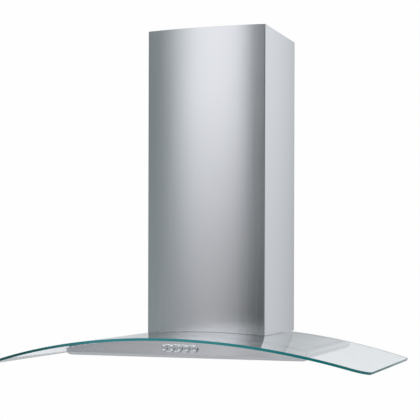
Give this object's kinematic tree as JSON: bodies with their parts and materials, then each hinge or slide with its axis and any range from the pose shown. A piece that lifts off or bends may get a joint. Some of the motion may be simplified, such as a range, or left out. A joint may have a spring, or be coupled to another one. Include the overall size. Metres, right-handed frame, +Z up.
{
  "type": "wall mount range hood",
  "caption": "Wall mount range hood: arched glass canopy on a shallow stainless body, bowed telescopic chimney, push buttons, mesh grease filters and a centrifugal blower.",
  "frame": {"origin": "middle of the four wall holes of the motor box, on the wall plane", "axes": "+Y into the wall, +X to the right along the wall when facing it, +Z up"},
  "size_m": [0.9, 0.54, 0.8053],
  "materials": {
    "glass": "clear float glass, polished edge",
    "steel": "brushed stainless",
    "galvanised": "galvanised sheet",
    "screw_steel": "zinc plated",
    "seal": "translucent silicone",
    "nylon": "satin",
    "button": "satin chrome",
    "black_plastic": "moulded",
    "grey_plastic": "moulded",
    "white_plastic": "moulded",
    "aluminium": "satin",
    "lens": "frosted",
    "bulb": "clear",
    "motor_paint": "satin"
  },
  "bodies": {
    "hood": {"glass_canopy": "glass", "glass_gasket": "seal", "glass_bushes": "nylon", "glass_screws": "screw_steel", "glass_nuts": "screw_steel", "lower_cover": "steel", "lower_cover_bracket": "galvanised", "upper_cover_bracket": "galvanised", "body_shell": "steel", "body_roof": "steel", "base_panel": "steel", "control_bezel": "steel", "switch_block": "black_plastic", "switch_bracket": "galvanised", "lamp_housing_left": "steel", "lamp_housing_right": "steel", "lamp_lens_left": "lens", "lamp_lens_right": "lens", "lamp_bulbs": "bulb", "lamp_transformer": "white_plastic", "lamp_leads": "black_plastic", "motor_box": "galvanised", "volute_wrap": "galvanised", "volute_side_left": "galvanised", "volute_side_right": "galvanised", "inlet_ring_left": "grey_plastic", "inlet_ring_right": "grey_plastic", "motor": "motor_paint", "motor_bracket": "galvanised", "motor_bracket_screws": "screw_steel", "outlet_collar": "black_plastic", "outlet_screws": "screw_steel", "flap_pin": "screw_steel", "junction_box": "white_plastic", "junction_lid": "white_plastic", "mains_gland": "black_plastic", "capacitor": "white_plastic", "capacitor_clip": "galvanised", "wiring_harness": "black_plastic"},
    "upper_cover": {"upper_cover": "steel"},
    "off_button": {"off_button": "button"},
    "speed_1_button": {"speed_1_button": "button"},
    "speed_2_button": {"speed_2_button": "button"},
    "speed_3_button": {"speed_3_button": "button"},
    "light_button": {"light_button": "button"},
    "fan": {"impeller": "grey_plastic", "motor_shaft": "screw_steel"},
    "front_flap": {"front_flap": "grey_plastic"},
    "rear_flap": {"rear_flap": "grey_plastic"},
    "left_filter": {"filter_frame_left": "aluminium", "filter_mesh_left": "aluminium"},
    "right_filter": {"filter_frame_right": "aluminium", "filter_mesh_right": "aluminium"},
    "left_latch": {"filter_latch_left": "black_plastic"},
    "right_latch": {"filter_latch_right": "black_plastic"}
  },
  "joints": [
    {"name": "upper_cover_slide", "type": "slide", "parent": "hood", "child": "upper_cover", "axis": [0, 0, 1], "range_m": [0, 0.33]},
    {"name": "off_button_press", "type": "slide", "parent": "hood", "child": "off_button", "axis": [0, 1, 0], "range_m": [0, 0.003], "stiffness_N_per_m": 400, "springref_m": -0.001},
    {"name": "speed_1_button_press", "type": "slide", "parent": "hood", "child": "speed_1_button", "axis": [0, 1, 0], "range_m": [0, 0.003], "stiffness_N_per_m": 400, "springref_m": -0.001},
    {"name": "speed_2_button_press", "type": "slide", "parent": "hood", "child": "speed_2_button", "axis": [0, 1, 0], "range_m": [0, 0.003], "stiffness_N_per_m": 400, "springref_m": -0.001},
    {"name": "speed_3_button_press", "type": "slide", "parent": "hood", "child": "speed_3_button", "axis": [0, 1, 0], "range_m": [0, 0.003], "stiffness_N_per_m": 400, "springref_m": -0.001},
    {"name": "light_button_press", "type": "slide", "parent": "hood", "child": "light_button", "axis": [0, 1, 0], "range_m": [0, 0.003], "stiffness_N_per_m": 400, "springref_m": -0.001},
    {"name": "fan_spin", "type": "hinge", "parent": "hood", "child": "fan", "pos_m": [0, -0.089, -0.018], "axis": [1, 0, 0], "continuous": true},
    {"name": "front_flap_swing", "type": "hinge", "parent": "hood", "child": "front_flap", "pos_m": [0, -0.1395, 0.124], "axis": [-1, 0, 0], "range_deg": [0, 75]},
    {"name": "rear_flap_swing", "type": "hinge", "parent": "hood", "child": "rear_flap", "pos_m": [0, -0.1395, 0.124], "axis": [1, 0, 0], "range_deg": [0, 75]},
    {"name": "left_filter_drop", "type": "hinge", "parent": "hood", "child": "left_filter", "pos_m": [-0.135, -0.04, -0.18095], "axis": [1, 0, 0], "range_deg": [0, 60]},
    {"name": "left_latch_slide", "type": "slide", "parent": "left_filter", "child": "left_latch", "axis": [0, 1, 0], "range_m": [0, 0.006], "stiffness_N_per_m": 300, "springref_m": -0.002},
    {"name": "right_filter_drop", "type": "hinge", "parent": "hood", "child": "right_filter", "pos_m": [0.135, -0.04, -0.18095], "axis": [1, 0, 0], "range_deg": [0, 60]},
    {"name": "right_latch_slide", "type": "slide", "parent": "right_filter", "child": "right_latch", "axis": [0, 1, 0], "range_m": [0, 0.006], "stiffness_N_per_m": 300, "springref_m": -0.002}
  ]
}
